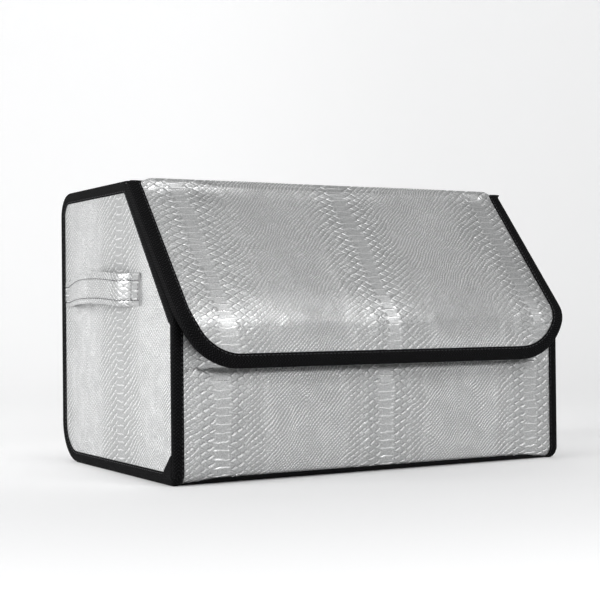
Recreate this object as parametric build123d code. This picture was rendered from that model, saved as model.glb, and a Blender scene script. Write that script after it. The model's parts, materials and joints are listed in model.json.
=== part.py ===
from build123d import *
import math
import os

# Soft-covered storage box with a sloped lid flap.
# Millimetres. X runs along the box, -Y is the front, +Z is up. The origin is the
# middle of the base, on the surface that the box stands on.

# Box, measured over the binding tape
LENGTH = 400.0
DEPTH = 264.0
HEIGHT = 258.0
FRONT_HEIGHT = 137.5
BACK_TOP_RADIUS = 22.0
BACK_BASE_RADIUS = 38.0
FRONT_BASE_RADIUS = 11.0
UNDER_FOLD = 14.0

# Every panel is four layers, outside to inside
SKIN = 1.0
PADDING = 2.2
BOARD = 3.0
LINER = 0.8
PANEL = SKIN + PADDING + BOARD + LINER

# Folded binding tape
TAPE = 1.0
TAPE_WIDTH = 10.5

# Lid flap: it slopes down from the hinge crease, then bends down as a lip
LID_SLOPE = 51.0
LIP_SLOPE = 86.0
HINGE_Y = -46.0
LID_LENGTH = 157.0
LIP_LENGTH = 40.0
FLAP_CORNER_RADIUS = 54.0
CREASE_RISE = 0.3
CREASE_SKIN = 1.5
CREASE_BOARD = 6.0
MITRE_GAP = 0.15
LID_GAP = 0.3
BOARD_MARGIN = 4.0

# Carry handles, one sewn to each end panel
STRAP_WIDTH = 28.5
STRAP = 2.4
STRAP_HEIGHT = 162.3
SEWN_FRONT = -64.0
SEWN_BACK = 115.0
SEWN_LENGTH = 18.0
RAMP_LENGTH = 13.7
STRAP_LIFT = 7.5
STRAP_BOW = 12.0
STRAP_GAP = 0.3

# Hook-and-loop patches between the front panel and the lip
PATCH = 2.8
PATCH_LENGTH = 110.0
PATCH_WIDTH = 20.0
PATCH_CENTRE = 105.0
LOOP_LOW = 106.0
HOOK_START = 6.0

half_length = LENGTH / 2
half_depth = DEPTH / 2
wall = TAPE + PANEL
bound_edge = PANEL + 2 * TAPE
hinge_z = HEIGHT + CREASE_RISE
slope_rad = math.radians(LID_SLOPE)
lip_rad = math.radians(LIP_SLOPE)
mitre = math.tan((lip_rad - slope_rad) / 2)
flap_length = LID_LENGTH + LIP_LENGTH
bend_y = HINGE_Y - LID_LENGTH * math.cos(slope_rad)
bend_z = hinge_z - LID_LENGTH * math.sin(slope_rad)

# The lid lies on the sloped edges of the ends, this far under the hinge plane
rest_depth = CREASE_RISE + bound_edge + LID_GAP

# Depths of each layer's two faces under the tape's outer face
LAYERS = {
    "skin": (TAPE, TAPE + SKIN),
    "padding": (TAPE + SKIN, TAPE + SKIN + PADDING),
    "board": (TAPE + SKIN + PADDING, TAPE + SKIN + PADDING + BOARD),
    "liner": (TAPE + SKIN + PADDING + BOARD, wall),
}

FAR = 1000.0

os.makedirs("parts", exist_ok=True)


def save(name, shape):
    export_step(shape, f"parts/{name}.step")


# ---- the box -------------------------------------------------------------


def upright(inset):
    """The box seen from its end, as a rounded rectangle inset by a distance (YZ)."""
    y = half_depth - inset
    low = inset
    high = HEIGHT - inset
    radii = [FRONT_BASE_RADIUS, BACK_BASE_RADIUS, BACK_TOP_RADIUS]
    radii = [max(r - inset, 0.5) for r in radii] + [0]
    outline = FilletPolyline((-y, low), (y, low), (y, high), (-y, high), radius=radii, close=True)
    return make_face(outline)


def above_slope(depth):
    """Everything above the plane that lies this far under the hinge plane (YZ)."""
    along = (math.cos(slope_rad), math.sin(slope_rad))
    out = (-math.sin(slope_rad), math.cos(slope_rad))
    foot_y = HINGE_Y - depth * out[0]
    foot_z = hinge_z - depth * out[1]
    ends = [(foot_y + k * FAR * along[0], foot_z + k * FAR * along[1]) for k in (-1, 1)]
    far_ends = [(y + FAR * out[0], z + FAR * out[1]) for y, z in reversed(ends)]
    return make_face(Polyline(*ends, *far_ends, close=True))


def end_profile(inset):
    """An end panel's outline (YZ): the box's side view, cut off along the slope."""
    return upright(inset) - above_slope(rest_depth + inset)


def run_x(face, x0, x1):
    """Extrude a YZ face from x0 to x1."""
    return Plane.YZ.offset(x0) * extrude(face, x1 - x0)


def window(y0, y1, z0, z1):
    """A rectangle in the side view, to pick one wall out of a ring."""
    return Pos((y0 + y1) / 2, (z0 + z1) / 2) * Rectangle(y1 - y0, z1 - z0)


def ring(depths):
    """One layer right round the side view, between two depths."""
    return upright(depths[0]) - upright(depths[1])


inner_half = half_length - wall
inner_y = half_depth - wall
back_top_y = half_depth - BACK_TOP_RADIUS
back_base_y = half_depth - BACK_BASE_RADIUS
waist = HEIGHT / 2
front_top = FRONT_HEIGHT - TAPE
top_front_y = HINGE_Y + CREASE_BOARD
under_fold = -half_depth + UNDER_FOLD
tape_half = half_length - TAPE_WIDTH

front_window = window(-FAR, -inner_y, -FAR, front_top)
front_skin_window = window(-FAR, under_fold, -FAR, front_top)
front_board_window = window(-FAR, -inner_y, FRONT_BASE_RADIUS, front_top)
base_window = window(-inner_y, back_base_y, -FAR, waist)
base_skin_window = window(under_fold, back_base_y, -FAR, waist)
base_board_window = window(-half_depth + FRONT_BASE_RADIUS, back_base_y, -FAR, waist)
top_window = window(top_front_y, back_top_y, waist, FAR)
top_skin_window = window(HINGE_Y + CREASE_SKIN, back_top_y, waist, FAR)
back_window = window(back_base_y, FAR, -FAR, waist) + window(back_top_y, FAR, waist, FAR)
back_board_window = window(inner_y, FAR, BACK_BASE_RADIUS, HEIGHT - BACK_TOP_RADIUS)

for layer, depths in LAYERS.items():
    band = ring(depths)
    walls = {"front": front_window, "back": back_window, "top": top_window}
    if layer == "skin":
        walls["front"] = front_skin_window
        walls["top"] = top_skin_window
    if layer == "board":
        walls["front"] = front_board_window
        walls["back"] = back_board_window
    for wall_name, opening in walls.items():
        save(f"{wall_name}_{layer}", run_x(band & opening, -inner_half, inner_half))
    if layer == "skin":
        cover = run_x(band & base_skin_window, -inner_half, inner_half)
        sole = run_x(ring((0, TAPE)) & base_skin_window, -tape_half, tape_half)
        save("base_cover", cover + sole)
    else:
        opening = base_board_window if layer == "board" else base_window
        save(f"base_{layer}", run_x(band & opening, -inner_half, inner_half))

# ---- the two ends, mirrored ----------------------------------------------


def save_pair(name, left):
    """Save a piece of the left end, and its mirror image on the right end."""
    save(f"left_{name}", left)
    save(f"right_{name}", mirror(left, about=Plane.YZ))


for layer, (near, far) in LAYERS.items():
    save_pair(f"end_{layer}", run_x(end_profile(TAPE), -half_length + near, -half_length + far))

# Tape over the seam between the end and the wrap-round walls, an L in section
slope_strip = above_slope(rest_depth + TAPE_WIDTH)
face_strip = end_profile(0) - end_profile(TAPE_WIDTH)
rim = (end_profile(0) - end_profile(TAPE)) - above_slope(rest_depth + TAPE)
seam_face = run_x(face_strip - slope_strip, -half_length, -half_length + TAPE)
seam_rim = run_x(rim - slope_strip, -half_length + TAPE, -half_length + TAPE_WIDTH)
save_pair("end_binding", seam_face + seam_rim)

# Tape folded over the free sloped edge, a U in section
slope_outer = run_x(face_strip & slope_strip, -half_length, -half_length + TAPE)
slope_rim_face = (end_profile(0) & above_slope(rest_depth + TAPE)) - above_slope(rest_depth)
slope_rim = run_x(slope_rim_face, -half_length + TAPE, -inner_half)
inside = window(-inner_y + TAPE, inner_y, wall, HEIGHT - wall - TAPE)
inner_strip = (end_profile(0) & slope_strip & inside) - above_slope(rest_depth)
slope_inner = run_x(inner_strip, -inner_half, -inner_half + TAPE)
save_pair("slope_binding", slope_outer + slope_rim + slope_inner)

# ---- bindings of the front panel -----------------------------------------

front_face = -half_depth
hem_low = FRONT_HEIGHT - TAPE_WIDTH
hem_outer = window(front_face, front_face + TAPE, hem_low, FRONT_HEIGHT)
hem_top = window(front_face, -inner_y + TAPE, front_top, FRONT_HEIGHT)
hem_inner = window(-inner_y, -inner_y + TAPE, hem_low, FRONT_HEIGHT)
save("front_hem_binding", run_x(hem_outer + hem_top + hem_inner, -tape_half, tape_half))

base_edge = window(-FAR, under_fold, -FAR, FRONT_BASE_RADIUS)
save("front_base_binding", run_x(ring((0, TAPE)) & base_edge, -tape_half, tape_half))

# ---- hook-and-loop: loop patches on the front panel ----------------------

patch_places = [-PATCH_CENTRE, PATCH_CENTRE]
loop_patches = [
    Pos(x, front_face + TAPE - PATCH / 2, LOOP_LOW + PATCH_WIDTH / 2)
    * Box(PATCH_LENGTH, PATCH, PATCH_WIDTH)
    for x in patch_places
]
save("loop_patches", Compound(loop_patches))

# ---- lid flap ------------------------------------------------------------

lid_plane = Plane(
    origin=(0, HINGE_Y, hinge_z),
    x_dir=(1, 0, 0),
    z_dir=(0, -math.sin(slope_rad), math.cos(slope_rad)),
)
lip_plane = Plane(
    origin=(0, bend_y, bend_z),
    x_dir=(1, 0, 0),
    z_dir=(0, -math.sin(lip_rad), math.cos(lip_rad)),
)


def flap_outline(inset, start):
    """The whole flap laid flat: X across, -Y down from the hinge."""
    x = half_length - inset
    end = flap_length - inset
    corner = FLAP_CORNER_RADIUS - inset
    outline = FilletPolyline(
        (-x, -start), (-x, -end), (x, -end), (x, -start), radius=[0, corner, corner, 0], close=True
    )
    return make_face(outline)


def flap_layer(face, near, far):
    """Extrude a flat flap face between two depths under the hinge plane."""
    return Pos(0, 0, -far) * extrude(face, far - near)


def mitred(above):
    """The side of the bend that the lid (or the lip) fills, as a block."""
    reach = bound_edge + CREASE_RISE
    gap = MITRE_GAP
    side = 1 if above else -1
    start = -LID_LENGTH + side * gap
    points = [(start, 0), (start + side * reach * mitre, -reach)]
    points += [(start + side * FAR, -reach), (start + side * FAR, 0)]
    return Plane.YZ.offset(-FAR) * extrude(make_face(Polyline(*points, close=True)), 2 * FAR)


def save_flap(name, flat):
    """Cut one flat piece of the flap at the bend into the lid's part and the lip's."""
    save(f"lid_{name}", lid_plane.location * (flat & mitred(True)))
    at_bend = Pos(0, LID_LENGTH, 0) * (flat & mitred(False))
    save(f"lip_{name}", lip_plane.location * at_bend)


for layer, (near, far) in LAYERS.items():
    start = CREASE_SKIN if layer == "skin" else CREASE_BOARD
    inset = TAPE + BOARD_MARGIN if layer == "board" else TAPE
    flat = flap_layer(flap_outline(inset, start), CREASE_RISE + near, CREASE_RISE + far)
    save_flap(layer, flat)

tape_strip = flap_outline(0, CREASE_BOARD) - flap_outline(TAPE_WIDTH, CREASE_BOARD)
tape_edge = flap_outline(0, CREASE_BOARD) - flap_outline(TAPE, CREASE_BOARD)
top_flange = flap_layer(tape_strip, CREASE_RISE, CREASE_RISE + TAPE)
edge_web = flap_layer(tape_edge, CREASE_RISE + TAPE, CREASE_RISE + wall)
low_flange = flap_layer(tape_strip, CREASE_RISE + wall, CREASE_RISE + bound_edge)
save_flap("binding", top_flange + edge_web + low_flange)

# Hook patches on the lip's inner face
hook_depth = CREASE_RISE + wall
hook_patches = [
    lip_plane.location
    * Pos(x, -HOOK_START - PATCH_WIDTH / 2, -hook_depth - PATCH / 2)
    * Box(PATCH_LENGTH, PATCH_WIDTH, PATCH)
    for x in patch_places
]
save("hook_patches", Compound(hook_patches))

# ---- carry handles -------------------------------------------------------

panel_face = -half_length + TAPE
strap_low = STRAP_HEIGHT - STRAP_WIDTH / 2


def run_z(points):
    """Extrude an outline in XY over the strap's width."""
    return Pos(0, 0, strap_low) * extrude(make_face(Polyline(*points, close=True)), STRAP_WIDTH)


def sewn_end(y, toward):
    """A strap end: sewn flat to the panel, then rising off it."""
    flat = y + toward * SEWN_LENGTH
    top = flat + toward * RAMP_LENGTH
    return run_z(
        [
            (panel_face, y),
            (panel_face, flat),
            (panel_face - STRAP_LIFT + STRAP_GAP, top),
            (panel_face - STRAP_LIFT + STRAP_GAP - STRAP, top),
            (panel_face - STRAP, flat),
            (panel_face - STRAP, y),
        ]
    )


save_pair("handle_ends", Compound([sewn_end(SEWN_FRONT, 1), sewn_end(SEWN_BACK, -1)]))

strap_front = SEWN_FRONT + SEWN_LENGTH + RAMP_LENGTH + STRAP_GAP
strap_back = SEWN_BACK - SEWN_LENGTH - RAMP_LENGTH - STRAP_GAP
strap_middle = (strap_front + strap_back) / 2
lift_x = panel_face - STRAP_LIFT
bow_x = panel_face - STRAP_BOW
strap_outline = [
    ThreePointArc((lift_x, strap_front), (bow_x, strap_middle), (lift_x, strap_back)),
    Line((lift_x, strap_back), (lift_x - STRAP, strap_back)),
    ThreePointArc(
        (lift_x - STRAP, strap_back), (bow_x - STRAP, strap_middle), (lift_x - STRAP, strap_front)
    ),
    Line((lift_x - STRAP, strap_front), (lift_x, strap_front)),
]
strap = Pos(0, 0, strap_low) * extrude(make_face(strap_outline), STRAP_WIDTH)
save_pair("handle_strap", strap)
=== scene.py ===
import bmesh
import bpy
import json
import math
import numpy as np
from mathutils import Matrix, Vector


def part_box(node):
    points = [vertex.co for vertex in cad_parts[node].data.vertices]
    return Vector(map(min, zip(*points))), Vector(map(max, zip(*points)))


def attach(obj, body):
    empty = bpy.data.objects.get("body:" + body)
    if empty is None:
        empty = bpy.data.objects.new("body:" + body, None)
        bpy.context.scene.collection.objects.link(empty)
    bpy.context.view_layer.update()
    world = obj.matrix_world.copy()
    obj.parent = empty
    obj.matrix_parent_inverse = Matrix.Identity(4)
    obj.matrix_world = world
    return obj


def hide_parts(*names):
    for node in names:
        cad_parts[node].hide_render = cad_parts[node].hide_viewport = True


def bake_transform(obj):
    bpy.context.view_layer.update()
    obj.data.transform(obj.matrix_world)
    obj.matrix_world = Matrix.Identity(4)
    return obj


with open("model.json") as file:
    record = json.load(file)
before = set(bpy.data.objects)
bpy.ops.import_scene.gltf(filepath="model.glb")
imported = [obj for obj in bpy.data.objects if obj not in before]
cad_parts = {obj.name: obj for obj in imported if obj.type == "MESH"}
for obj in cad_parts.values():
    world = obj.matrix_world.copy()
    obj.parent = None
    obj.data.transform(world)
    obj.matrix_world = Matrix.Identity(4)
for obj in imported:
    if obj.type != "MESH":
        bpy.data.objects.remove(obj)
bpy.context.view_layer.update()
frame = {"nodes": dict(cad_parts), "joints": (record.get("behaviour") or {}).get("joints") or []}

# A soft-covered box with a sloped lid flap. Metres. X runs along the box, -Y is the
# front and +Z is up. The side view is the YZ plane.

# ---- sizes, from the CAD frame and from the real object ----

end_low, end_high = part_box("left_end_binding")
HALF_LENGTH = -end_low.x
HALF_DEPTH = end_high.y
HEIGHT = end_high.z
FRONT_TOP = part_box("front_hem_binding")[1].z
joints = {joint["name"]: joint for joint in frame["joints"]}
HINGE_Y, HINGE_Z = joints["lid_hinge"]["pos_m"][1:]
BEND_Y, BEND_Z = joints["lip_bend"]["pos_m"][1:]
LID_LENGTH = math.hypot(HINGE_Y - BEND_Y, HINGE_Z - BEND_Z)
LID_SLOPE = math.atan2(HINGE_Z - BEND_Z, HINGE_Y - BEND_Y)
LIP_TURN = math.radians(joints["lip_bend"]["range_deg"][1])
LIP_LENGTH = 0.040

TAPE = 0.001
TAPE_WIDTH = 0.0105
PANEL = 0.007
BOUND_EDGE = PANEL + 2 * TAPE
COVER = 0.0031
LINING = 0.0007
LID_GAP = 0.0003
WALL_HALF = 0.1915

FLAP_CORNER = 0.054
BEND_RADIUS = 0.030
CREASE_RADIUS = 0.004
BACK_TOP_RADIUS = 0.022
BACK_BASE_RADIUS = 0.038
FRONT_BASE_RADIUS = 0.011
FOOT_RADIUS = 0.018
TOP_FRONT_RADIUS = 0.011
UNDER_FOLD = 0.014
COVER_SPLIT = 0.045
LIP_CREVICE = 0.005
LIP_GROOVE = 0.0024
CREASE_RISE = 0.0035
LEAN_AT_CREASE = -0.0028
LEAN_AT_BEND = 0.0010
HEM_TAPE_HALF = 0.1915
BASE_TAPE_HALF = 0.1890
BASE_TAPE_REACH = 0.0125

STRAP_WIDTH = 0.0285
STRAP = 0.0024
STRAP_HEIGHT = 0.1623
STRAP_SEWN = (-0.064, 0.115)
SEWN_LENGTH = 0.018
RAMP_LENGTH = 0.0137
STRAP_LIFT = 0.0075
STRAP_BOW = 0.012
STRAP_RISE = 0.003
STRAP_NARROWING = 0.15
STRAP_SAG = 0.0018

# ---- camera ----

CAMERA_PLACE = (-0.6652, -1.1593, 0.1427)
CAMERA_TURN = 29.61
CAMERA_PITCH = 0.44
CAMERA_ROLL = -0.56
CAMERA_LENS = 82.93


def make_camera():
    data = bpy.data.cameras.new("camera")
    data.lens = CAMERA_LENS
    data.sensor_width = 36.0
    camera = bpy.data.objects.new("camera", data)
    bpy.context.scene.collection.objects.link(camera)
    turn = Matrix.Rotation(math.radians(-CAMERA_TURN), 4, "Z")
    tilt = Matrix.Rotation(math.radians(90 + CAMERA_PITCH), 4, "X")
    roll = Matrix.Rotation(math.radians(CAMERA_ROLL), 4, "Z")
    camera.matrix_world = Matrix.Translation(CAMERA_PLACE) @ turn @ tilt @ roll
    bpy.context.scene.camera = camera


# ---- materials ----


class Nodes:
    """Short helpers that add nodes to a material or to the world."""

    def __init__(self, owner):
        owner.use_nodes = True
        self.tree = owner.node_tree

    def node(self, kind, **options):
        made = self.tree.nodes.new(kind)
        for name, value in options.items():
            setattr(made, name, value)
        return made

    def feed(self, socket, value):
        if isinstance(value, bpy.types.NodeSocket):
            self.tree.links.new(value, socket)
        else:
            socket.default_value = value

    def math(self, operation, *values):
        made = self.node("ShaderNodeMath", operation=operation)
        for socket, value in zip(made.inputs, values):
            self.feed(socket, value)
        return made.outputs[0]

    def times(self, value, *others):
        for other in others:
            value = self.math("MULTIPLY", value, other)
        return value

    def smooth(self, value, low, high):
        """0 below low, 1 above high, and a soft step between; or falling if high < low."""
        made = self.node("ShaderNodeMapRange", interpolation_type="SMOOTHSTEP")
        rising = low < high
        numbers = (value, low, high, 0.0, 1.0) if rising else (value, high, low, 1.0, 0.0)
        for socket, number in zip(made.inputs, numbers):
            self.feed(socket, number)
        return made.outputs[0]

    def mix(self, share, a, b):
        made = self.node("ShaderNodeMix")
        for index, value in ((0, share), (2, a), (3, b)):
            self.feed(made.inputs[index], value)
        return made.outputs[0]

    def noise(self, vector, scale, detail=2.0):
        made = self.node("ShaderNodeTexNoise")
        self.feed(made.inputs["Vector"], vector)
        made.inputs["Scale"].default_value = scale
        made.inputs["Detail"].default_value = detail
        return made.outputs["Fac"]

    def parts(self, vector):
        made = self.node("ShaderNodeSeparateXYZ")
        self.feed(made.inputs[0], vector)
        return made.outputs

    def along(self, vector, direction):
        """How far a place lies in a direction."""
        made = self.node("ShaderNodeVectorMath", operation="DOT_PRODUCT")
        self.feed(made.inputs[0], vector)
        made.inputs[1].default_value = direction
        return made.outputs["Value"]

    def cloth_place(self):
        return self.node("ShaderNodeUVMap", uv_map="cloth").outputs[0]

    def object_place(self):
        return self.node("ShaderNodeTexCoord").outputs["Object"]

    def ridge(self, value, period):
        """0 on lines a period apart, and 1 midway between them."""
        return self.times(self.math("PINGPONG", value, period / 2), 2 / period)


class Shader(Nodes):
    """A principled material."""

    def __init__(self, name, **settings):
        self.material = bpy.data.materials.new(name)
        super().__init__(self.material)
        self.surface = self.tree.nodes["Principled BSDF"]
        for socket, value in settings.items():
            self.surface.inputs[socket.replace("_", " ")].default_value = value

    def colour(self, share, dark, light):
        made = self.node("ShaderNodeMix", data_type="RGBA")
        for index, value in ((0, share), (6, (*dark, 1)), (7, (*light, 1))):
            self.feed(made.inputs[index], value)
        self.feed(self.surface.inputs["Base Color"], made.outputs[2])

    def bump(self, height, depth, strength):
        made = self.node("ShaderNodeBump")
        made.inputs["Strength"].default_value = strength
        made.inputs["Distance"].default_value = depth
        self.feed(made.inputs["Height"], height)
        self.feed(self.surface.inputs["Normal"], made.outputs[0])


COLUMN_PERIOD = 0.162
COLUMN_START = 0.005
PLATE_HALF_WIDTH = 0.0075
PLATE_PITCH = 0.0072
# Each size: its pitch, and how far up its ramp the painted highlight begins.
SCALE_SIZES = ((0.0072, 0.66), (0.0050, 0.60), (0.0036, 0.48))
SCALE_CHANGES = (0.024, 0.042)
HEIGHT_PER_PITCH = 140
PLATE_HEIGHT = 0.6
# How much the painted shade at each scale's foot darkens the colour.
PAINTED_SHADE = -0.28


def leatherette():
    """Silver snakeskin emboss: columns of wide plates, and scales that fan out between.

    Each scale is a low ramp with a painted highlight on the edge where it drops to the next one,
    and painted shade at its foot. In the value for painted light, the shade at the foot counts as
    less than 0."""
    m = Shader("silver_leatherette", Metallic=0.75)
    cloth = m.cloth_place()
    u, v, _ = m.parts(cloth)
    drift = m.math("SUBTRACT", m.noise(cloth, 24.0), 0.5)
    wander = m.math("SUBTRACT", m.noise(cloth, 90.0), 0.5)
    u = m.math("MULTIPLY_ADD", drift, 0.014, u)
    v = m.math("MULTIPLY_ADD", wander, 0.004, v)
    half_period = COLUMN_PERIOD / 2
    beside = m.math("WRAP", m.math("SUBTRACT", u, COLUMN_START), half_period, -half_period)
    away = m.math("ABSOLUTE", beside)
    fan = m.times(beside, m.math("MULTIPLY_ADD", away, 5.0, 0.45))
    falling = m.math("SUBTRACT", v, fan)
    rising = m.math("ADD", v, fan)

    def scales(pitch, highlight_from):
        """How high the scales of one size are, and their painted highlight and painted shade."""
        ramp = m.math("FRACT", m.math("DIVIDE", falling, pitch))
        between = m.mix(m.smooth(m.ridge(rising, pitch), 0.0, 0.35), 0.45, 1.0)
        drop = m.smooth(ramp, 1.0, 0.93)
        height = m.times(ramp, drop, between, pitch * HEIGHT_PER_PITCH)
        broken = m.smooth(m.ridge(rising, pitch), 0.1, 0.45)
        # Painted highlight on the edge where each scale drops, the edge that faces the light.
        painted_light = m.times(m.smooth(ramp, highlight_from, highlight_from + 0.18), drop, broken)
        # Painted shade at the foot of each scale, in the hollow under the next scale's edge.
        painted_shade = m.times(m.smooth(ramp, 0.30, 0.04), broken)
        return height, m.math("MULTIPLY_ADD", painted_shade, PAINTED_SHADE, painted_light)

    height, painted_light = scales(*SCALE_SIZES[0])
    for place, size in zip(SCALE_CHANGES, SCALE_SIZES[1:]):
        beyond = m.smooth(away, place - 0.006, place + 0.006)
        smaller_height, smaller_painted_light = scales(*size)
        height = m.mix(beyond, height, smaller_height)
        painted_light = m.mix(beyond, painted_light, smaller_painted_light)
    # The plates get a painted highlight on their dropping edge as well.
    plate = m.math("FRACT", m.math("DIVIDE", v, PLATE_PITCH))
    plate_drop = m.smooth(plate, 1.0, 0.9)
    plate_highlight = m.times(m.smooth(plate, 0.76, 0.86), plate_drop)
    column = m.smooth(away, PLATE_HALF_WIDTH + 0.002, PLATE_HALF_WIDTH - 0.003)
    height = m.mix(column, height, m.times(plate, plate_drop, PLATE_HEIGHT))
    painted_light = m.mix(column, painted_light, plate_highlight)
    grain = m.noise(cloth, 750.0, 3.0)
    cloud = m.noise(cloth, 18.0, 4.0)
    patchy = m.smooth(m.noise(cloth, 75.0, 3.0), 0.38, 0.62)
    # The painted light is broken into random patches.
    painted_light = m.times(painted_light, m.mix(patchy, 0.6, 1.0))
    m.feed(m.surface.inputs["Roughness"], m.mix(painted_light, m.mix(cloud, 0.38, 0.50), 0.24))
    mottle = m.mix(0.35, m.smooth(grain, 0.3, 0.7), cloud)
    # The colour is lighter with the painted highlight, darker with the painted shade, and mottled
    # at random.
    bright = m.math("MULTIPLY_ADD", painted_light, 0.8, m.times(mottle, 0.45))
    m.colour(bright, (0.32, 0.325, 0.325), (1.0, 1.0, 1.0))
    m.bump(m.math("MULTIPLY_ADD", grain, 0.22, height), 0.0010, 0.9)
    return m.material


def tape_weave():
    """Black binding tape with a herringbone twill."""
    m = Shader("binding_tape", Roughness=0.85, Specular_IOR_Level=0.08)
    cloth = m.cloth_place()
    u, v, _ = m.parts(cloth)
    across = m.math("PINGPONG", v, 0.0035)
    rib = m.smooth(m.ridge(m.math("ADD", u, across), 0.0027), 0.45, 0.95)
    thread = m.smooth(m.ridge(m.math("SUBTRACT", u, across), 0.0034), 0.3, 0.9)
    weave = m.times(rib, m.math("MULTIPLY_ADD", thread, 0.6, 0.3))
    fuzz = m.noise(cloth, 2200.0, 3.0)
    lit = m.times(weave, m.smooth(fuzz, 0.35, 0.65))
    m.colour(lit, (0.0004, 0.0004, 0.0006), (0.045, 0.045, 0.048))
    m.bump(m.math("MULTIPLY_ADD", fuzz, 0.3, weave), 0.0004, 0.9)
    return m.material


def woven(name, dark, light, pitch):
    """A plain weave in object space."""
    m = Shader(name, Roughness=0.85)
    place = m.object_place()
    x, y, z = m.parts(place)
    warp = m.ridge(m.math("ADD", x, y), pitch)
    weft = m.ridge(m.math("ADD", z, m.math("SUBTRACT", y, x)), pitch)
    over = m.math("MAXIMUM", m.smooth(warp, 0.1, 0.9), m.smooth(weft, 0.1, 0.9))
    blotch = m.noise(place, 40.0, 3.0)
    m.colour(m.times(over, m.mix(blotch, 0.6, 1.0)), dark, light)
    m.bump(over, 0.0002, 0.8)
    return m.material


def speckled(name, dark, light, scale, roughness=0.9):
    """A fine random texture, for foam, pressed board, thread, hooks or loops."""
    m = Shader(name, Roughness=roughness)
    place = m.object_place()
    fine = m.noise(place, scale, 4.0)
    broad = m.noise(place, scale / 30, 2.0)
    m.colour(m.math("MULTIPLY_ADD", broad, 0.4, m.times(fine, 0.6)), dark, light)
    m.bump(fine, 0.0003, 0.9)
    return m.material


MATERIALS = {
    "silver_leatherette": leatherette(),
    "binding_tape": tape_weave(),
    "base_fabric": woven("base_fabric", (0.006, 0.006, 0.007), (0.03, 0.03, 0.032), 0.0016),
    "lining_fabric": woven("lining_fabric", (0.012, 0.012, 0.014), (0.07, 0.07, 0.076), 0.0024),
    "foam_padding": speckled("foam_padding", (0.55, 0.55, 0.52), (0.8, 0.8, 0.77), 900.0),
    "stiffener_board": speckled("stiffener_board", (0.22, 0.18, 0.14), (0.4, 0.35, 0.28), 500.0),
    "hook_tape": speckled("hook_tape", (0.004, 0.004, 0.004), (0.05, 0.05, 0.052), 1500.0, 0.6),
    "loop_tape": speckled("loop_tape", (0.006, 0.006, 0.006), (0.045, 0.045, 0.047), 2200.0),
}
THREAD = speckled("dark_thread", (0.012, 0.012, 0.014), (0.07, 0.07, 0.075), 3000.0, 0.7)

SLOT_OF_PART = {
    "hook_patches": "hook_tape",
    "loop_patches": "loop_tape",
    "skin": "silver_leatherette",
    "ends": "silver_leatherette",
    "strap": "silver_leatherette",
    "cover": "base_fabric",
    "padding": "foam_padding",
    "board": "stiffener_board",
    "liner": "lining_fabric",
    "binding": "binding_tape",
}


def dress_cad_nodes():
    for name, node in frame["nodes"].items():
        slot = SLOT_OF_PART.get(name) or SLOT_OF_PART[name.rsplit("_", 1)[-1]]
        node.data.materials.clear()
        node.data.materials.append(MATERIALS[slot])


# ---- lines and profiles ----


def rounded_line(corners, radii, step, closed=False):
    """Points of a line in a plane whose corners are arcs, about a step apart."""
    corners = [Vector(corner) for corner in corners]
    count = len(corners)
    pieces = []
    for i, corner in enumerate(corners):
        if (not closed and i in (0, count - 1)) or radii[i] <= 0:
            pieces.append([corner])
            continue
        back = (corners[i - 1] - corner).normalized()
        ahead = (corners[(i + 1) % count] - corner).normalized()
        half = back.angle(ahead) / 2
        cut = radii[i] / math.tan(half)
        centre = corner + (back + ahead).normalized() * (radii[i] / math.sin(half))
        start = corner + back * cut - centre
        turn = start.angle_signed(corner + ahead * cut - centre)
        bits = max(3, round(abs(turn) * radii[i] / min(step, radii[i] / 3)))
        spins = [Matrix.Rotation(-turn * k / bits, 2) for k in range(bits + 1)]
        pieces.append([centre + spin @ start for spin in spins])
    points = []
    for i, piece in enumerate(pieces):
        points += piece
        if closed or i < count - 1:
            ahead = pieces[(i + 1) % count][0]
            bits = max(1, round((ahead - piece[-1]).length / step))
            points += [piece[-1].lerp(ahead, k / bits) for k in range(1, bits)]
    apart = [(b - a).length > 1e-7 for a, b in zip(points, points[1:])] + [True]
    return np.array([tuple(point) for point, kept in zip(points, apart) if kept])


def distances(points):
    """The length along a line of points, at each point."""
    steps = np.linalg.norm(np.diff(points, axis=0), axis=1)
    return np.concatenate([[0.0], np.cumsum(steps)])


def ways_along(points, closed=False):
    """The unit direction of travel at each point of a line."""
    before = np.roll(points, 1, axis=0)
    after = np.roll(points, -1, axis=0)
    if not closed:
        before[0] = points[0]
        after[-1] = points[-1]
    return unit(after - before)


def unit(vectors):
    return vectors / np.linalg.norm(vectors, axis=-1, keepdims=True)


def resample(lengths, known, values):
    """Each column of values, read at the given lengths."""
    return np.stack([np.interp(lengths, known, column) for column in values.T], -1)


def smoothstep(value):
    value = np.clip(value, 0, 1)
    return value * value * (3 - 2 * value)


def spread(low, high, step):
    return np.linspace(low, high, max(2, round(abs(high - low) / step) + 1))


def stations(*runs):
    """The lengths in some runs, in rising order and each one once."""
    return np.unique(np.concatenate(runs))


def side_view(y, z):
    return np.stack([0 * y, y, z], -1)


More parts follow.
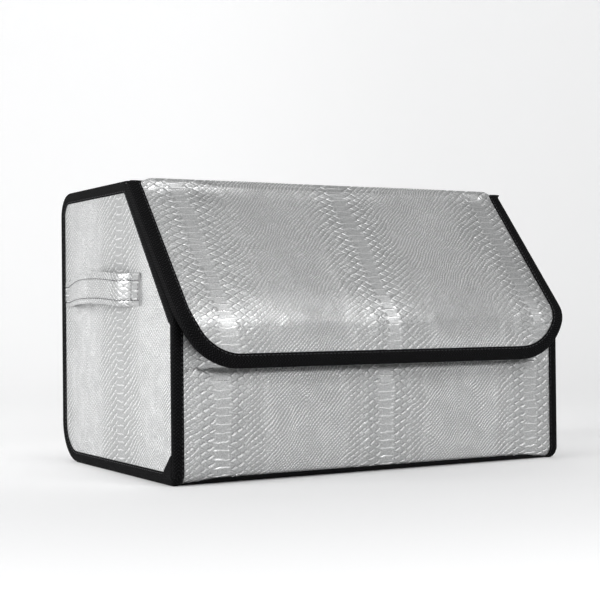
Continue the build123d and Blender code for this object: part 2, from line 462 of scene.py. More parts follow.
class Profile:
    """A line in the side view that can be read by length.

    side is 1 if the outside of the object is on the right of the way along, else -1."""

    def __init__(self, corners, radii, side, step=0.0012):
        self.points = rounded_line(corners, radii, step)
        self.lengths = distances(self.points)
        self.ways = ways_along(self.points)
        self.total = self.lengths[-1]
        self.side = side

    def at(self, lengths):
        """Places, ways along and ways out at these lengths."""
        lengths = np.asarray(lengths, float)
        beyond = np.clip(lengths - self.total, 0, None) + np.clip(lengths, None, 0)
        way = unit(resample(lengths, self.lengths, self.ways))
        place = resample(lengths, self.lengths, self.points) + way * beyond[..., None]
        out = self.side * side_view(way[..., 1], -way[..., 0])
        return side_view(place[..., 0], place[..., 1]), side_view(way[..., 0], way[..., 1]), out

    def length_near(self, y, z):
        """The length of the line's point nearest to a place."""
        return self.lengths[np.argmin(np.hypot(self.points[:, 0] - y, self.points[:, 1] - z))]

    def across(self, x, lengths):
        """Places and ways out at these lengths, moved across to x."""
        place, _, out = self.at(lengths)
        place[..., 0] = x
        return place, out


def slope_point(along, depth):
    """(y, z) at a distance down the lid from the hinge, and a depth under its plane."""
    y = HINGE_Y - along * math.cos(LID_SLOPE) + depth * math.sin(LID_SLOPE)
    z = HINGE_Z - along * math.sin(LID_SLOPE) - depth * math.cos(LID_SLOPE)
    return y, z


def slope_at_height(z, depth):
    """The point of the plane at a depth under the lid that has this height."""
    return slope_point((HINGE_Z - z - depth * math.cos(LID_SLOPE)) / math.sin(LID_SLOPE), depth)


def slope_at_front(y, depth):
    """The point of the plane at a depth under the lid that is this far forward."""
    return slope_point((HINGE_Y - y + depth * math.sin(LID_SLOPE)) / math.cos(LID_SLOPE), depth)


def bend_and_lip_end(depth, inset):
    """The flap's bend, and its end short by an inset, at a depth under its outer plane."""
    cut = depth * math.tan(LIP_TURN / 2)
    bend = slope_point(LID_LENGTH - cut, depth)
    lip_slope = LID_SLOPE + LIP_TURN
    lip = LIP_LENGTH - cut - inset
    return bend, (bend[0] - lip * math.cos(lip_slope), bend[1] - lip * math.sin(lip_slope))


def end_depth(inset):
    """How far an end panel's sloped edge, inset by a distance, is under the lid's plane."""
    return HINGE_Z - HEIGHT + BOUND_EDGE + LID_GAP + inset


def case_outline():
    """An end panel's outline seen from the side."""
    depth = end_depth(0)
    corners = [
        (-HALF_DEPTH, 0),
        (HALF_DEPTH, 0),
        (HALF_DEPTH, HEIGHT),
        slope_at_height(HEIGHT, depth),
        slope_at_front(-HALF_DEPTH, depth),
    ]
    radii = [FRONT_BASE_RADIUS, BACK_BASE_RADIUS, BACK_TOP_RADIUS, TOP_FRONT_RADIUS, FOOT_RADIUS]
    return rounded_line(corners, radii, 0.002, closed=True)


# The outer skin runs from under the back, over the top, and down the whole flap
SKIN_DEPTH = HINGE_Z - HEIGHT + TAPE
CREASE = slope_at_height(HEIGHT - TAPE, SKIN_DEPTH)
BEND, LIP_END = bend_and_lip_end(SKIN_DEPTH, TAPE)
BACK_FACE = HALF_DEPTH - TAPE
wrap_corners = [(HALF_DEPTH - BACK_BASE_RADIUS, TAPE), (BACK_FACE, TAPE)]
wrap_corners += [(BACK_FACE, HEIGHT - TAPE), CREASE, BEND, LIP_END]
wrap_line = Profile(
    wrap_corners,
    [0, BACK_BASE_RADIUS - TAPE, BACK_TOP_RADIUS - TAPE, CREASE_RADIUS, BEND_RADIUS, 0],
    side=1,
)
crease_at = wrap_line.length_near(*CREASE)
flap_end = wrap_line.total
corner_start = flap_end + TAPE - FLAP_CORNER
front_line = Profile(
    [(-BACK_FACE - TAPE + UNDER_FOLD, TAPE), (-BACK_FACE, TAPE), (-BACK_FACE, FRONT_TOP - TAPE)],
    [0, FRONT_BASE_RADIUS - TAPE, 0],
    side=-1,
)

# ---- mesh helpers ----


def finish_piece(piece, slot, material=None):
    piece.data.materials.clear()
    piece.data.materials.append(material or MATERIALS[slot])
    piece.data.shade_smooth()
    piece.data.set_sharp_from_angle(angle=math.radians(55))
    return piece


def mesh_piece(name, points, faces, uvs):
    """A new object; uvs is each vertex's place on the flat cloth, in metres."""
    mesh = bpy.data.meshes.new(name)
    mesh.from_pydata(np.asarray(points).tolist(), [], faces)
    layer = mesh.uv_layers.new(name="cloth")
    corners = np.zeros(len(mesh.loops), int)
    mesh.loops.foreach_get("vertex_index", corners)
    layer.data.foreach_set("uv", np.asarray(uvs, float)[corners].ravel())
    mesh.update()
    piece = bpy.data.objects.new(name, mesh)
    bpy.context.scene.collection.objects.link(piece)
    return piece


def read_mesh(piece):
    """A piece's points, its faces, and each vertex's place on the flat cloth."""
    mesh = piece.data
    points = np.zeros(len(mesh.vertices) * 3)
    mesh.vertices.foreach_get("co", points)
    corners = np.zeros(len(mesh.loops), int)
    mesh.loops.foreach_get("vertex_index", corners)
    flat = np.zeros(len(mesh.loops) * 2)
    mesh.uv_layers["cloth"].data.foreach_get("uv", flat)
    uvs = np.zeros((len(mesh.vertices), 2))
    uvs[corners] = flat.reshape(-1, 2)
    return points.reshape(-1, 3), [tuple(face.vertices) for face in mesh.polygons], uvs


def grid_faces(rows, columns):
    firsts = [i * columns + j for i in range(rows - 1) for j in range(columns - 1)]
    return [(a, a + 1, a + columns + 1, a + columns) for a in firsts]


def ring_faces(first, rings, count):
    """Faces of a closed tube: rings of count points each, from the first point's number."""
    last = first + (rings - 1) * count
    faces = [tuple(range(first, first + count))[::-1], tuple(range(last, last + count))]
    for start in range(first, last, count):
        for j in range(count):
            a, b = start + j, start + (j + 1) % count
            faces.append((a, b, b + count, a + count))
    return faces


def clean(piece):
    """Join doubled points and point all faces outward."""
    work = bmesh.new()
    work.from_mesh(piece.data)
    bmesh.ops.remove_doubles(work, verts=work.verts, dist=1e-6)
    bmesh.ops.recalc_face_normals(work, faces=work.faces)
    work.to_mesh(piece.data)
    work.free()


def sweep(name, places, sideways, through, sections, closed=False):
    """Carry a closed section along a line; it has two coordinates, sideways and through."""
    sections = np.broadcast_to(sections, (len(places),) + np.shape(sections)[-2:])
    if closed:
        places, sideways, through = (np.vstack([a, a[:1]]) for a in (places, sideways, through))
        sections = np.concatenate([sections, sections[:1]])
    sections = np.concatenate([sections, sections[:, :1]], axis=1)
    rows, columns = sections.shape[:2]
    points = (
        places[:, None]
        + sideways[:, None] * sections[..., :1]
        + through[:, None] * sections[..., 1:]
    )
    along = np.repeat(distances(places)[:, None], columns, axis=1)
    around = np.array([distances(section) for section in sections])
    faces = grid_faces(rows, columns)
    if not closed:
        last = (rows - 1) * columns
        faces += [tuple(range(columns - 1)), tuple(range(last, last + columns - 1))]
    uvs = np.stack([along, around], -1).reshape(-1, 2)
    piece = mesh_piece(name, points.reshape(-1, 3), faces, uvs)
    clean(piece)
    return piece


def subdivide(piece):
    smooth = piece.modifiers.new("smooth", "SUBSURF")
    smooth.levels = 1
    smooth.boundary_smooth = "PRESERVE_CORNERS"
    smooth.uv_smooth = "NONE"
    with bpy.context.temp_override(object=piece):
        bpy.ops.object.modifier_apply(modifier=smooth.name)


# ---- padded covers ----

COVER_STEP = 0.005
PRESSURE = 3.0
SWELL_FRAMES = 18
WRAP_RISE = 0.0027
FRONT_RISE = 0.0022
END_RISE = 0.0020
PIN_MARGIN = 0.0005
FULL_LIFT_SHARE = 0.35


def simulated_lift(piece, flat, normals, pinned):
    """How far each point rises when the cover, held where pinned, is blown up.

    It counts in shares of the height at which the foam's limit begins to tell."""
    group = piece.vertex_groups.new(name="pin")
    group.add(np.nonzero(pinned)[0].tolist(), 1.0, "REPLACE")
    cloth = piece.modifiers.new("cloth", "CLOTH")
    settings = cloth.settings
    settings.quality = 5
    settings.mass = 0.3
    settings.tension_stiffness = 30
    settings.compression_stiffness = 30
    settings.shear_stiffness = 15
    settings.bending_stiffness = 2
    settings.vertex_group_mass = "pin"
    settings.use_pressure = True
    settings.uniform_pressure_force = PRESSURE
    settings.effector_weights.gravity = 0.0
    cloth.collision_settings.use_collision = False
    cloth.point_cache.frame_end = SWELL_FRAMES
    for number in range(1, SWELL_FRAMES + 1):
        bpy.context.scene.frame_set(number)
    swollen = piece.evaluated_get(bpy.context.evaluated_depsgraph_get())
    moved = np.zeros(flat.size)
    swollen.data.vertices.foreach_get("co", moved)
    piece.modifiers.remove(cloth)
    piece.vertex_groups.remove(group)
    bpy.context.scene.frame_set(1)
    lift = ((moved.reshape(-1, 3) - flat) * normals).sum(1)
    return np.clip(lift, 0, None) / max(FULL_LIFT_SHARE * lift.max(), 1e-6)


def swell(piece, pinned, rise):
    """Puff a cover out between its pinned edges, up to the rise that its foam allows."""
    mesh = piece.data
    flat = read_mesh(piece)[0]
    normals = np.zeros(flat.size)
    mesh.vertices.foreach_get("normal", normals)
    normals = normals.reshape(-1, 3)
    lift = simulated_lift(piece, flat, normals, pinned)
    placed = flat + normals * (rise * np.tanh(lift))[:, None]
    mesh.vertices.foreach_set("co", placed.ravel())
    mesh.update()


def open_sheet(name, u, v, surface, raised=0.0):
    """A grid sheet at these cloth places; surface gives the places and the ways out."""
    places, outs = surface(u, v)
    points = (places + outs * raised).reshape(-1, 3)
    faces = grid_faces(*u.shape)
    a, b, c = (points[i] for i in faces[0][:3])
    if np.dot(np.cross(b - a, c - b), outs.reshape(-1, 3)[faces[0][0]]) < 0:
        faces = [face[::-1] for face in faces]
    return mesh_piece(name, points, faces, np.stack([u, v], -1).reshape(-1, 2))


def close_back(piece, surface, depth, name=None, keep=None):
    """Give an open sheet a flat back, at a depth under the surface that it grew from.

    keep picks the faces to take, by the cloth place of their middle."""
    points, faces, uvs = read_mesh(piece)
    if keep:
        faces = [face for face in faces if keep(uvs[list(face)].mean(0))]
        used = sorted({k for face in faces for k in face})
        renumber = {old: new for new, old in enumerate(used)}
        faces = [tuple(renumber[k] for k in face) for face in faces]
        points, uvs = points[used], uvs[used]
    places, outs = surface(uvs[:, 0], uvs[:, 1])
    depths = depth(uvs[:, 1]) if callable(depth) else np.full(len(points), depth)
    back = places - outs * depths[:, None]
    count = len(points)
    edges = {(a, b) for face in faces for a, b in zip(face, face[1:] + face[:1])}
    rim = sorted(edge for edge in edges if edge[::-1] not in edges)
    behind = [tuple(k + count for k in reversed(face)) for face in faces]
    walls = [(b, a, a + count, b + count) for a, b in rim]
    name = name or piece.name
    if not keep:
        bpy.data.objects.remove(piece)
    faces = faces + behind + walls
    return mesh_piece(name, np.vstack([points, back]), faces, np.vstack([uvs, uvs]))


# ---- the wrap-round cover: back, top and lid ----

NEAR_CREASE = 0.006
PINNED_START = 0.006
FLAP_PIN_MARGIN = 0.0015
SKIN_ONLY = TAPE * 0.9
CREASE_CROWN_WIDTH = 0.010


def flap_margin(u, length):
    """How far inside the flap's outer edge a place is, with its corners rounded."""
    aside = np.clip(np.abs(u) - (HALF_LENGTH - FLAP_CORNER), 0, None)
    beyond = np.clip(length - corner_start, 0, None)
    return FLAP_CORNER - np.hypot(aside, beyond)


def flap_half_width(length, inset):
    """Half the flap's width at a length, inset from its outer edge."""
    corner = FLAP_CORNER - inset
    beyond = np.clip(length - corner_start, 0, corner)
    return HALF_LENGTH - FLAP_CORNER + np.sqrt(corner**2 - beyond**2)


def flap_stations(start, inset):
    """Lengths down the flap for rows of mesh, closer together round the corners."""
    corner = FLAP_CORNER - inset
    split = crease_at + COVER_SPLIT
    return stations(
        spread(start, split, COVER_STEP),
        spread(split, corner_start, COVER_STEP),
        corner_start + corner * np.sin(spread(0, math.pi / 2, 0.09)),
    )


def on_flap(length):
    """0 on the fixed top and 1 on the flap, with a soft step at the crease."""
    return smoothstep((length - crease_at + 0.001) / 0.003)


def flap_lean(length):
    """How far the flap, sewn a little askew, lies to the right at a length."""
    share = np.clip((length - crease_at) / LID_LENGTH, 0, 1.2)
    return on_flap(length) * (LEAN_AT_CREASE + (LEAN_AT_BEND - LEAN_AT_CREASE) * share)


def wrap_surface(u, v):
    places, outs = wrap_line.across(u, -v)
    places[..., 0] += flap_lean(-v)
    return places, outs


def make_wrap():
    before, after = crease_at - NEAR_CREASE, crease_at + NEAR_CREASE
    lengths = stations(
        spread(0, before, COVER_STEP),
        spread(before, after, 0.001),
        flap_stations(after, TAPE),
    )
    half = WALL_HALF + (flap_half_width(lengths, TAPE) - WALL_HALF) * on_flap(lengths)
    columns = np.linspace(-1, 1, round(2 * HALF_LENGTH / COVER_STEP) + 1)
    u = half[:, None] * columns
    length = np.repeat(lengths[:, None], len(columns), axis=1)
    inside_tape = flap_margin(u, length) - TAPE_WIDTH
    pinned = (inside_tape < FLAP_PIN_MARGIN) | (length < PINNED_START)
    crown = CREASE_RISE * np.exp(-(((length - crease_at) / CREASE_CROWN_WIDTH) ** 2))
    crown *= smoothstep((inside_tape - 0.001) / 0.005)

    def surface(u, v):
        places, outs = wrap_surface(u, v)
        return places + outs * crown[..., None], outs

    sheet = open_sheet("wrap", u, -length, surface)
    swell(sheet, pinned.ravel(), WRAP_RISE)
    subdivide(sheet)
    split = crease_at + COVER_SPLIT

    def depth(v):
        """Only the skin crosses the crease; the padding stops short of it."""
        from_crease = np.abs(-v - crease_at)
        return SKIN_ONLY + (COVER - SKIN_ONLY) * smoothstep((from_crease - 0.004) / 0.002)

    back = close_back(sheet, wrap_surface, depth, "wrap_cover", lambda uv: -uv[1] < split)
    lid = close_back(sheet, wrap_surface, depth, "lid_cover", lambda uv: -uv[1] > split)
    bpy.data.objects.remove(sheet)
    for piece, fill in ((back, 0.3), (lid, 0.4)):
        finish_piece(piece, "silver_leatherette")
    blend_at_crease(back)
    blend_at_bend(lid)
    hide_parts("back_skin", "back_padding", "top_skin", "top_padding")
    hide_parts("lid_skin", "lid_padding", "lip_skin", "lip_padding")


def blend_at_crease(piece):
    """Bake a piece's placing into its points; nothing turns it between the fixed top and the lid.
    """
    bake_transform(piece)


def blend_at_bend(piece):
    """Bake a piece's placing into its points; nothing turns it between the lid and the lip."""
    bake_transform(piece)


# ---- the front cover and the two end covers ----

PATCH_INNER = 0.050
PATCH_EDGE = 0.002
GROOVE_UNDER_LIP = 0.0008
GROOVE_WIDTH = 0.0038


def make_front():
    under_lip = front_line.total - (FRONT_TOP - LIP_END[1])
    corner_end = UNDER_FOLD + FRONT_BASE_RADIUS
    groove_start, groove_end = under_lip - 0.010, under_lip + 0.004
    lengths = stations(
        spread(0, corner_end, 0.003),
        spread(corner_end, groove_start, COVER_STEP),
        spread(groove_start, groove_end, 0.0014),
        spread(groove_end, front_line.total, COVER_STEP),
    )
    columns = spread(-WALL_HALF, WALL_HALF, COVER_STEP)
    u, v = np.meshgrid(columns, lengths)
    z = front_line.across(u, v)[0][..., 2]
    loop_low, loop_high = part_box("loop_patches")
    patch_middle = (loop_high.x + PATCH_INNER) / 2
    under_patch = np.abs(np.abs(u) - patch_middle) < loop_high.x - patch_middle + PATCH_EDGE
    under_patch &= (z > loop_low.z - PATCH_EDGE) & (z < loop_high.z + PATCH_EDGE)
    inside_tape = HALF_LENGTH - TAPE_WIDTH - np.abs(u)
    under_tape = (inside_tape < PIN_MARGIN) | (v < BASE_TAPE_REACH)
    under_tape |= z > LIP_END[1] - LIP_CREVICE
    groove = LIP_GROOVE * np.exp(-(((z - LIP_END[1] + GROOVE_UNDER_LIP) / GROOVE_WIDTH) ** 2))
    groove *= inside_tape > 0.002

    def surface(u, v):
        places, outs = front_line.across(u, v)
        return places - outs * groove[..., None], outs

    sheet = open_sheet("front_cover", u, v, surface)
    swell(sheet, (under_tape | under_patch).ravel(), FRONT_RISE)
    subdivide(sheet)
    cover = close_back(sheet, front_line.across, COVER)
    finish_piece(cover, "silver_leatherette")
    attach(cover, "case")
    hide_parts("front_skin", "front_padding")


END_COLUMN_SHIFT = 0.010
END_INSET = 0.002


def end_limits(z):
    """The y range of an end cover at each height."""
    low, high = END_INSET, HEIGHT - END_INSET
    back = np.full(z.shape, HALF_DEPTH - END_INSET)
    front = -back
    for y, radius, sign in ((back, BACK_BASE_RADIUS, -1), (front, FRONT_BASE_RADIUS, 1)):
        corner = radius - END_INSET
        under = np.clip(low + corner - z, 0, corner)
        y += sign * (corner - np.sqrt(corner**2 - under**2))
    corner = BACK_TOP_RADIUS - END_INSET
    over = np.clip(z - high + corner, 0, corner)
    back -= corner - np.sqrt(corner**2 - over**2)
    sloped = slope_at_height(z, end_depth(END_INSET))[0]
    return np.maximum(front, sloped), back


def make_end(name, side):
    """An end panel's cover; side is -1 for the left end and 1 for the right."""

    def surface(u, v):
        x = 0 * u + side * (HALF_LENGTH - TAPE)
        places = np.stack([x, side * (u + END_COLUMN_SHIFT), v], -1)
        return places, np.zeros(places.shape) + (side, 0, 0)

    low, high = END_INSET, HEIGHT - END_INSET
    base, top = BACK_BASE_RADIUS - END_INSET, BACK_TOP_RADIUS - END_INSET
    heights = stations(
        low + base * (1 - np.cos(spread(0, math.pi / 2, 0.16))),
        spread(low + base, high - top, COVER_STEP),
        high - top * (1 - np.cos(spread(0, math.pi / 2, 0.22))),
    )
    front, back = end_limits(heights)
    share = np.linspace(0, 1, round(2 * HALF_DEPTH / COVER_STEP))
    y = front[:, None] + (back - front)[:, None] * share
    z = np.repeat(heights[:, None], len(share), axis=1)
    grid = np.stack([y, z], -1).reshape(-1, 1, 2)
    margin = np.min(np.linalg.norm(grid - case_outline(), axis=-1), axis=1)
    sewn = SEWN_LENGTH / 2
    sewn_ends = np.abs(y - STRAP_SEWN[0] - sewn) < sewn
    sewn_ends |= np.abs(y - STRAP_SEWN[1] + sewn) < sewn
    under_strap = sewn_ends & (np.abs(z - STRAP_HEIGHT) < STRAP_WIDTH / 2)
    pinned = (margin < TAPE_WIDTH + PIN_MARGIN) | under_strap.ravel()
    sheet = open_sheet(f"{name}_end_cover", side * y - END_COLUMN_SHIFT, z, surface)
    swell(sheet, pinned, END_RISE)
    subdivide(sheet)
    cover = close_back(sheet, surface, COVER)
    finish_piece(cover, "silver_leatherette")
    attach(cover, "case")
    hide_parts(f"{name}_end_skin", f"{name}_end_padding")


# ---- binding tapes ----

TAPE_CORNER = 0.0026
WALL_SHARE = 0.86
FRONT_NARROWING = 0.30
LID_TAPE_SHARE = 1.18
LID_TAPE_PROUD = 0.0008
LID_TAPE_START = 0.0006
LID_TAPE_THIN_END = 0.0026
LID_TAPE_THICKENING = 1.9
TAPE_CLOTH = TAPE * 0.85
STITCH_INSET = 0.0016
STITCH_SUNK = 0.0004
BASE_TAPE_TAPER = 0.032
BASE_TAPE_NARROWING = 0.0045


def tape_section(folded_back):
    """A tape's closed section, in (across the face, through the edge).

    It runs over the face and round the edge, then on along the wall, or back inside."""
    face = [
        (TAPE_WIDTH, 0.0006),
        (TAPE_WIDTH - 0.0005, 0.0001),
        (TAPE_WIDTH - STITCH_INSET, STITCH_SUNK),
        (TAPE_WIDTH - 0.0030, -0.0001),
        (TAPE_WIDTH / 2, -0.0005),
        (TAPE_CORNER, -0.0002),
    ]
    turns = np.linspace(0, math.pi / 2, 6)[1:-1]
    edge = [(TAPE_CORNER * (1 - math.sin(t)), TAPE_CORNER * (1 - math.cos(t))) for t in turns]
    if folded_back:
        line = face + edge
        line += [(a, BOUND_EDGE - b) for a, b in reversed(line)]
    else:
        line = face + edge + [(b, a * WALL_SHARE) for a, b in reversed(face)]
    line = np.array(line)
    lengths = distances(line)
    outer = resample(np.linspace(0, lengths[-1], 34), lengths, line)
    way = ways_along(outer)
    inner = outer + np.stack([way[:, 1], -way[:, 0]], -1) * TAPE_CLOTH
    return np.vstack([outer, inner[::-1]])


SEAM_TAPE = tape_section(False)
EDGE_TAPE = tape_section(True)


def end_tape_line(side):
    """Places, ways inward and ways through for the tape round an end."""
    outline = case_outline()
    way = ways_along(outline, closed=True)
    zero = np.zeros((len(outline), 1))
    places = np.hstack([zero + side * HALF_LENGTH, outline])
    inward = np.hstack([zero, -way[:, 1:], way[:, :1]])
    return places, inward, np.hstack([zero - side, zero, zero])


def make_corner_fold(name, side):
    """The slanting fold of tape across an end's front bottom corner."""
    corners = [(0.004, 0.004), (0.023, 0.0085), (0.021, 0.0120), (0.0076, 0.0250), (0.004, 0.0265)]
    flat = rounded_line(corners, [0, 0.001, 0.003, 0.003, 0], 0.001, closed=True)
    middle = flat.mean(axis=0)
    rings = []
    for share, proud in ((1.0, -0.0012), (1.0, 0.0), (0.95, 0.0006), (0.6, 0.0009)):
        ring = middle + (flat - middle) * share
        x = np.full(len(ring), side * (HALF_LENGTH + proud))
        rings.append(np.stack([x, ring[:, 0] - HALF_DEPTH, ring[:, 1]], -1))
    points = np.vstack(rings)
    faces = ring_faces(0, len(rings), len(flat))
    fold = mesh_piece(f"{name}_end_tape_fold", points, faces, points[:, 1:])
    clean(fold)
    finish_piece(fold, "binding_tape")
    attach(fold, "case")


def close(points):
    return np.vstack([points, points[:1]])


def make_end_tape(name, side):
    """The tape round an end; it folds back on the slope, and is narrower down the front."""
    places, inward, through = end_tape_line(side)
    slope_inward = np.array([0, math.sin(LID_SLOPE), -math.cos(LID_SLOPE)])
    on_slope = smoothstep((inward @ slope_inward - 0.82) / 0.15)[:, None, None]
    sections = SEAM_TAPE + (EDGE_TAPE - SEAM_TAPE) * on_slope
    width = 1 - FRONT_NARROWING * smoothstep((inward[:, 1] - 0.90) / 0.10)
    sections = sections * np.stack([width, np.ones(len(width))], -1)[:, None]
    tape = sweep(f"{name}_end_tape", places, inward, through, sections, closed=True)
    finish_piece(tape, "binding_tape")
    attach(tape, "case")
    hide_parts(f"{name}_end_binding", f"{name}_slope_binding")
    make_corner_fold(name, side)
    reach = TAPE_WIDTH - STITCH_INSET
    on_face = places + inward * (reach * width)[:, None] + through * STITCH_SUNK
    walls = on_slope.ravel() < 0.01
    first = int(np.argmax(~walls))
    order = np.roll(np.arange(len(walls)), -first)
    order = order[walls[order]]
    on_wall = places + inward * STITCH_SUNK + through * reach * WALL_SHARE
    runs = [(close(on_face), close(-through)), (on_wall[order], -inward[order])]
    thread = stitches(f"{name}_end_tape_stitches", runs)
    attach(thread, "case")


def make_lid_tape():
    start = crease_at - LID_TAPE_START
    end = flap_end + TAPE
    corners = [(-HALF_LENGTH, start), (-HALF_LENGTH, end), (HALF_LENGTH, end), (HALF_LENGTH, start)]
    outline = rounded_line(corners, [0, FLAP_CORNER, FLAP_CORNER, 0], 0.002)
    way = ways_along(outline)
    places, down, out = wrap_line.at(outline[:, 1])
    places[:, 0] = outline[:, 0] + flap_lean(outline[:, 1])
    places += out * TAPE
    inward = way[:, 1:] * np.array([[1.0, 0, 0]]) - way[:, :1] * down
    thickness = LID_TAPE_THIN_END + LID_TAPE_THICKENING * (outline[:, 1:] - crease_at)
    thickness = np.clip(thickness / BOUND_EDGE, 0.1, 1)
    section = EDGE_TAPE * (LID_TAPE_SHARE, 1) - (LID_TAPE_PROUD, 0)
    tape = sweep("lid_tape", places, inward, -out * thickness, section)
    finish_piece(tape, "binding_tape")
    blend_at_bend(tape)
    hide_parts("lid_binding", "lip_binding")
    reach = (TAPE_WIDTH - STITCH_INSET) * LID_TAPE_SHARE - LID_TAPE_PROUD
    on_face = places + inward * reach - out * STITCH_SUNK
    thread = stitches("lid_tape_stitches", [(on_face, out)])
    blend_at_bend(thread)


def make_hem_tape():
    x = spread(-HEM_TAPE_HALF, HEM_TAPE_HALF, 0.004)
    places = np.stack([x, 0 * x - HALF_DEPTH, 0 * x + FRONT_TOP], -1)
    down = np.tile([0.0, 0.0, -1.0], (len(x), 1))
    inside = np.tile([0.0, 1.0, 0.0], (len(x), 1))
    tape = sweep("front_hem_tape", places, down, inside, EDGE_TAPE)
    finish_piece(tape, "binding_tape")
    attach(tape, "case")
    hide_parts("front_hem_binding")


def make_base_tape():
    """The tape over the front bottom seam, tapered towards its two ends."""
    columns = spread(-BASE_TAPE_HALF, BASE_TAPE_HALF, 0.004)
    full = smoothstep((BASE_TAPE_HALF - np.abs(columns)) / BASE_TAPE_TAPER)
    reach = BASE_TAPE_REACH - BASE_TAPE_NARROWING * (1 - full)
    u, share = np.meshgrid(columns, np.linspace(0.02, 1, 14))
    v = share * reach
    strip = open_sheet("front_base_tape", u, v, front_line.across, SKIN_ONLY)
    tape = close_back(strip, front_line.across, 0.0)
    finish_piece(tape, "binding_tape")
    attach(tape, "case")
    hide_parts("front_base_binding")


# ---- stitches ----

STITCH = 0.0028
STITCH_PITCH = 0.0040
THREAD_RADIUS = 0.00028


def stitches(name, runs):
    """Short dashes of thread along lines; each line comes with its ways out."""
    share = np.linspace(0, 1, 5)
    height = THREAD_RADIUS * (1.2 * np.sin(math.pi * share) - 0.5)
    taper = np.array([0.5, 0.9, 1.0, 0.9, 0.5])
    turns = np.linspace(0, 2 * math.pi, 7)[:-1, None]
    sides = len(turns)
    points = []
    faces = []
    for places, outs in runs:
        lengths = distances(places)
        for k in range(int(lengths[-1] // STITCH_PITCH)):
            at = k * STITCH_PITCH + share * STITCH
            out = unit(resample(at, lengths, outs))
            middle = resample(at, lengths, places) + out * height[:, None]
            sideways = np.cross(ways_along(middle), out)
            ring = sideways[:, None] * np.cos(turns) + out[:, None] * np.sin(turns)
            first = len(points) * sides * len(share)
            points.append(middle[:, None] + ring * (THREAD_RADIUS * taper)[:, None, None])
            faces += ring_faces(first, len(share), sides)
    points = np.array(points).reshape(-1, 3)
    piece = mesh_piece(name, points, faces, points[:, :2])
    return finish_piece(piece, "binding_tape", THREAD)


# ---- linings of the lid ----

LINING_INSET = 0.0025
LINING_START = 0.0062
LINING_GAP = 0.0003
TOP_LINING_GAP = 0.0006
FOLD_STEP = 0.0006
CREASE_LINING_HALF = WALL_HALF + 0.0008


def make_lid_lining():
    """The lining inside the lid and lip, from the hinge edge to the lip's lower edge."""
    lengths = flap_stations(crease_at + LINING_START, LINING_INSET)
    half = flap_half_width(lengths, LINING_INSET)
    columns = np.linspace(-1, 1, 61)
    u = half[:, None] * columns
    v = -np.repeat(lengths[:, None], len(columns), axis=1)

    def surface(u, v):
        places, outs = wrap_surface(u, v)
        return places - outs * PANEL, -outs

    sheet = open_sheet("lid_lining", u, v, surface)
    lining = close_back(sheet, surface, LINING)
    finish_piece(lining, "lining_fabric")
    blend_at_bend(lining)
    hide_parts("lid_liner", "lip_liner")


def make_crease_lining():
    """A strip of lining that folds up into the gap at the hinge, so that no edge shows."""
    under_top = HEIGHT - TAPE - PANEL - LINING_GAP
    top_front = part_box("top_liner")[0].y - TOP_LINING_GAP
    under_lid = SKIN_DEPTH + PANEL + LINING_GAP
    past_hinge = 0.0056
    line = Profile(
        [
            (top_front + 0.012, under_top),
            (top_front, under_top),
            (top_front - 0.0004, under_top + 0.0045),
            (CREASE[0] + 0.0004, CREASE[1] - 0.0014),
            slope_point(past_hinge, 0.0035),
            slope_point(past_hinge, under_lid),
            slope_point(0.018, under_lid),
        ],
        [0, 0.0008, 0.001, 0.001, 0.001, 0.0008, 0],
        side=1,
        step=FOLD_STEP,
    )
    half = CREASE_LINING_HALF
    u, v = np.meshgrid(spread(-half, half, 0.010), spread(0, line.total, FOLD_STEP))
    sheet = open_sheet("crease_lining", u, v, line.across)
    lining = close_back(sheet, line.across, 0.0005)
    finish_piece(lining, "lining_fabric")
    blend_at_crease(lining)


# ---- carry straps ----

STRAP_STITCH_LOW = 0.0048
STRAP_STITCH_HIGH = 0.0064
STRAP_ROWS = (0.0018, SEWN_LENGTH - 0.002)
STRAP_GROOVE = 0.0005
STRAP_GROOVE_WIDTH = 0.0009


def strap_section():
    """A flat strap's section, in (up, outward): thin rounded edges and two sewn grooves."""
    half = STRAP_WIDTH / 2
    up = np.linspace(-half, half, 41)
    edge = np.sqrt(np.clip(1 - (np.abs(up) / half) ** 6, 0, None))
    groove = np.zeros(up.shape)
    for row in (-half + STRAP_STITCH_LOW, half - STRAP_STITCH_HIGH):
        groove += STRAP_GROOVE * np.exp(-(((up - row) / STRAP_GROOVE_WIDTH) ** 2))
    outer = np.stack([up, edge * STRAP / 2 + 0.0002 - groove], -1)
    inner = np.stack([up, -edge * STRAP / 2], -1)
    return np.vstack([outer, inner[::-1][1:-1]])


def strap_line(side, y):
    """A strap's middle line, ways out and width: sewn flat, then bowing off the panel.

    Its back end is gathered, so it is narrower there and sits a little lower."""
    middle = sum(STRAP_SEWN) / 2
    from_end = np.minimum(y - STRAP_SEWN[0], STRAP_SEWN[1] - y)
    rise = smoothstep((from_end - SEWN_LENGTH) / RAMP_LENGTH)
    free = middle - STRAP_SEWN[0] - SEWN_LENGTH - RAMP_LENGTH
    bow = np.clip(1 - ((y - middle) / free) ** 2, 0, 1)
    lift = STRAP_LIFT * rise + (STRAP_BOW - STRAP_LIFT) * bow
    x = side * (HALF_LENGTH - TAPE + STRAP / 2 + lift)
    gathered = smoothstep((y - middle - 0.02) / (STRAP_SEWN[1] - SEWN_LENGTH - middle - 0.02))
    places = np.stack([x, y, STRAP_HEIGHT + STRAP_RISE * bow - STRAP_SAG * gathered], -1)
    outs = np.cross(ways_along(places), [0.0, 0.0, 1.0])
    outs = unit(outs * side * np.sign(y[-1] - y[0]))
    return places, outs, 1 - STRAP_NARROWING * gathered


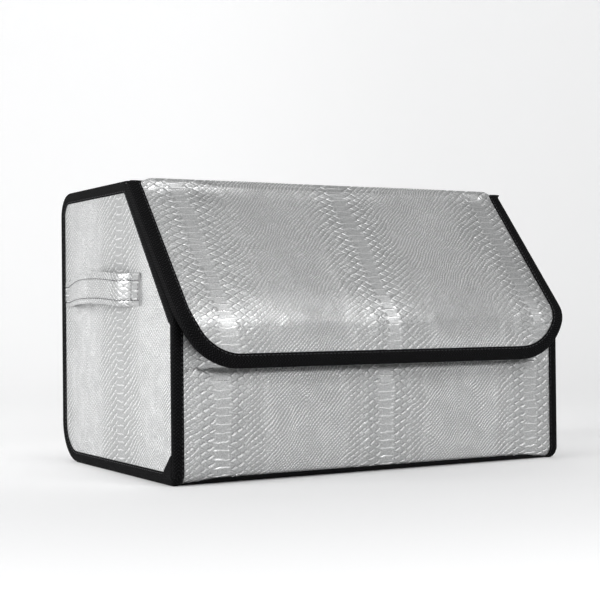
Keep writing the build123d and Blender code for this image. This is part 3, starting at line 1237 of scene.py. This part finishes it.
def make_strap(name, side):
    half = STRAP_WIDTH / 2
    middle = sum(STRAP_SEWN) / 2
    low_row, high_row = -half + STRAP_STITCH_LOW, half - STRAP_STITCH_HIGH
    for end, sewn, toward in (("front", STRAP_SEWN[0], 1), ("back", STRAP_SEWN[1], -1)):
        y = spread(sewn, middle, 0.002)
        places, outs, width = strap_line(side, y)
        up = np.stack([0 * y, 0 * y, width], -1)
        strap = sweep(f"{name}_strap_{end}", places, up, outs, strap_section())
        finish_piece(strap, "silver_leatherette")
        surface = outs * STRAP / 2
        runs = [(places + up * row + surface, outs) for row in (low_row, high_row)]
        for inset in STRAP_ROWS:
            rows = spread(low_row, high_row, 0.002) * width[0]
            x = side * (HALF_LENGTH - TAPE + STRAP + 0.0001)
            y_row = sewn + toward * inset
            across = np.stack([0 * rows + x, 0 * rows + y_row, places[0, 2] + rows], -1)
            runs.append((across, np.tile([float(side), 0.0, 0.0], (len(rows), 1))))
        thread = stitches(f"{name}_strap_{end}_stitches", runs)
        for piece in (strap, thread):
            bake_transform(piece)
        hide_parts(f"{name}_handle_ends", f"{name}_handle_strap")


# ---- floor, backdrop and light ----


def paper():
    """White paper that glows: a painted wash of the studio lights behind and in front, with less
    glow in a band just in front of the box, a painted shadow there.
    """
    m = Shader("paper", Roughness=0.9, Emission_Color=(1, 1, 1, 1))
    place = m.object_place()
    m.colour(m.noise(place, 300.0), (0.75, 0.75, 0.755), (0.77, 0.77, 0.77))
    turn = math.radians(CAMERA_TURN)
    behind = m.along(place, (math.sin(turn), math.cos(turn), 0))
    aside = m.along(place, (math.cos(turn), -math.sin(turn), 0))
    washed = m.mix(m.smooth(aside, -0.4, 0.4), 0.27, 0.20)
    beside = m.times(m.smooth(behind, -0.25, 0.15), washed)
    backdrop = m.times(m.smooth(behind, 0.5, 2.2), 0.13)
    in_front = m.times(m.smooth(behind, -0.35, -1.2), 0.42)
    # Painted light: the glow stands in for light on the paper, and its lack just in front of the
    # box stands in for the box's shadow.
    glow = m.math("ADD", m.math("ADD", beside, backdrop), in_front)
    m.feed(m.surface.inputs["Emission Strength"], glow)
    return m.material


def make_stage():
    """A pale floor that curves up into a backdrop."""
    line = rounded_line([(-3.0, 0.0), (2.2, 0.0), (2.2, 3.5)], [0, 1.2, 0], 0.1)
    corners = [Vector((x, y, z)) for y, z in line for x in (-4.0, 4.0)]
    turn = Matrix.Rotation(math.radians(-CAMERA_TURN), 3, "Z")
    points = np.array([tuple(turn @ corner) for corner in corners])
    floor = mesh_piece("floor", points, grid_faces(len(line), 2), points[:, :2])
    floor.data.materials.append(paper())
    floor.data.shade_smooth()


def area_light(name, place, target, size, power):
    data = bpy.data.lights.new(name, "AREA")
    data.shape = "RECTANGLE"
    data.size, data.size_y = size
    data.energy = power
    light = bpy.data.objects.new(name, data)
    light.location = place
    light.rotation_euler = (Vector(target) - Vector(place)).to_track_quat("-Z", "Y").to_euler()
    bpy.context.scene.collection.objects.link(light)


def make_world():
    """Soft light from all round, brightest on the left and a little dimmer overhead."""
    world = bpy.data.worlds.new("studio")
    bpy.context.scene.world = world
    nodes = Nodes(world)
    background = nodes.tree.nodes["Background"]
    background.inputs["Color"].default_value = (0.98, 0.99, 1.0, 1)
    direction = nodes.node("ShaderNodeTexCoord").outputs["Generated"]
    slant = nodes.along(direction, (-0.20, 0.0, -0.08))
    nodes.feed(background.inputs["Strength"], nodes.math("ADD", slant, 0.30))


def make_lights():
    make_world()
    area_light("key", (-1.8, 0.1, 0.8), (-0.1, 0, 0.15), (1.2, 1.0), 31)
    area_light("front_top", (0.30, -1.30, 0.88), (0, 0, 0.15), (1.0, 0.8), 13.5)
    area_light("top", (-0.1, -0.3, 1.9), (0, 0, 0.15), (0.7, 0.7), 4)
    bpy.context.scene.view_settings.view_transform = "Standard"


make_camera()
dress_cad_nodes()
make_wrap()
make_front()
for end_name, end_side in (("left", -1), ("right", 1)):
    make_end(end_name, end_side)
    make_end_tape(end_name, end_side)
    make_strap(end_name, end_side)
make_lid_tape()
make_hem_tape()
make_base_tape()
make_lid_lining()
make_crease_lining()
make_stage()
make_lights()
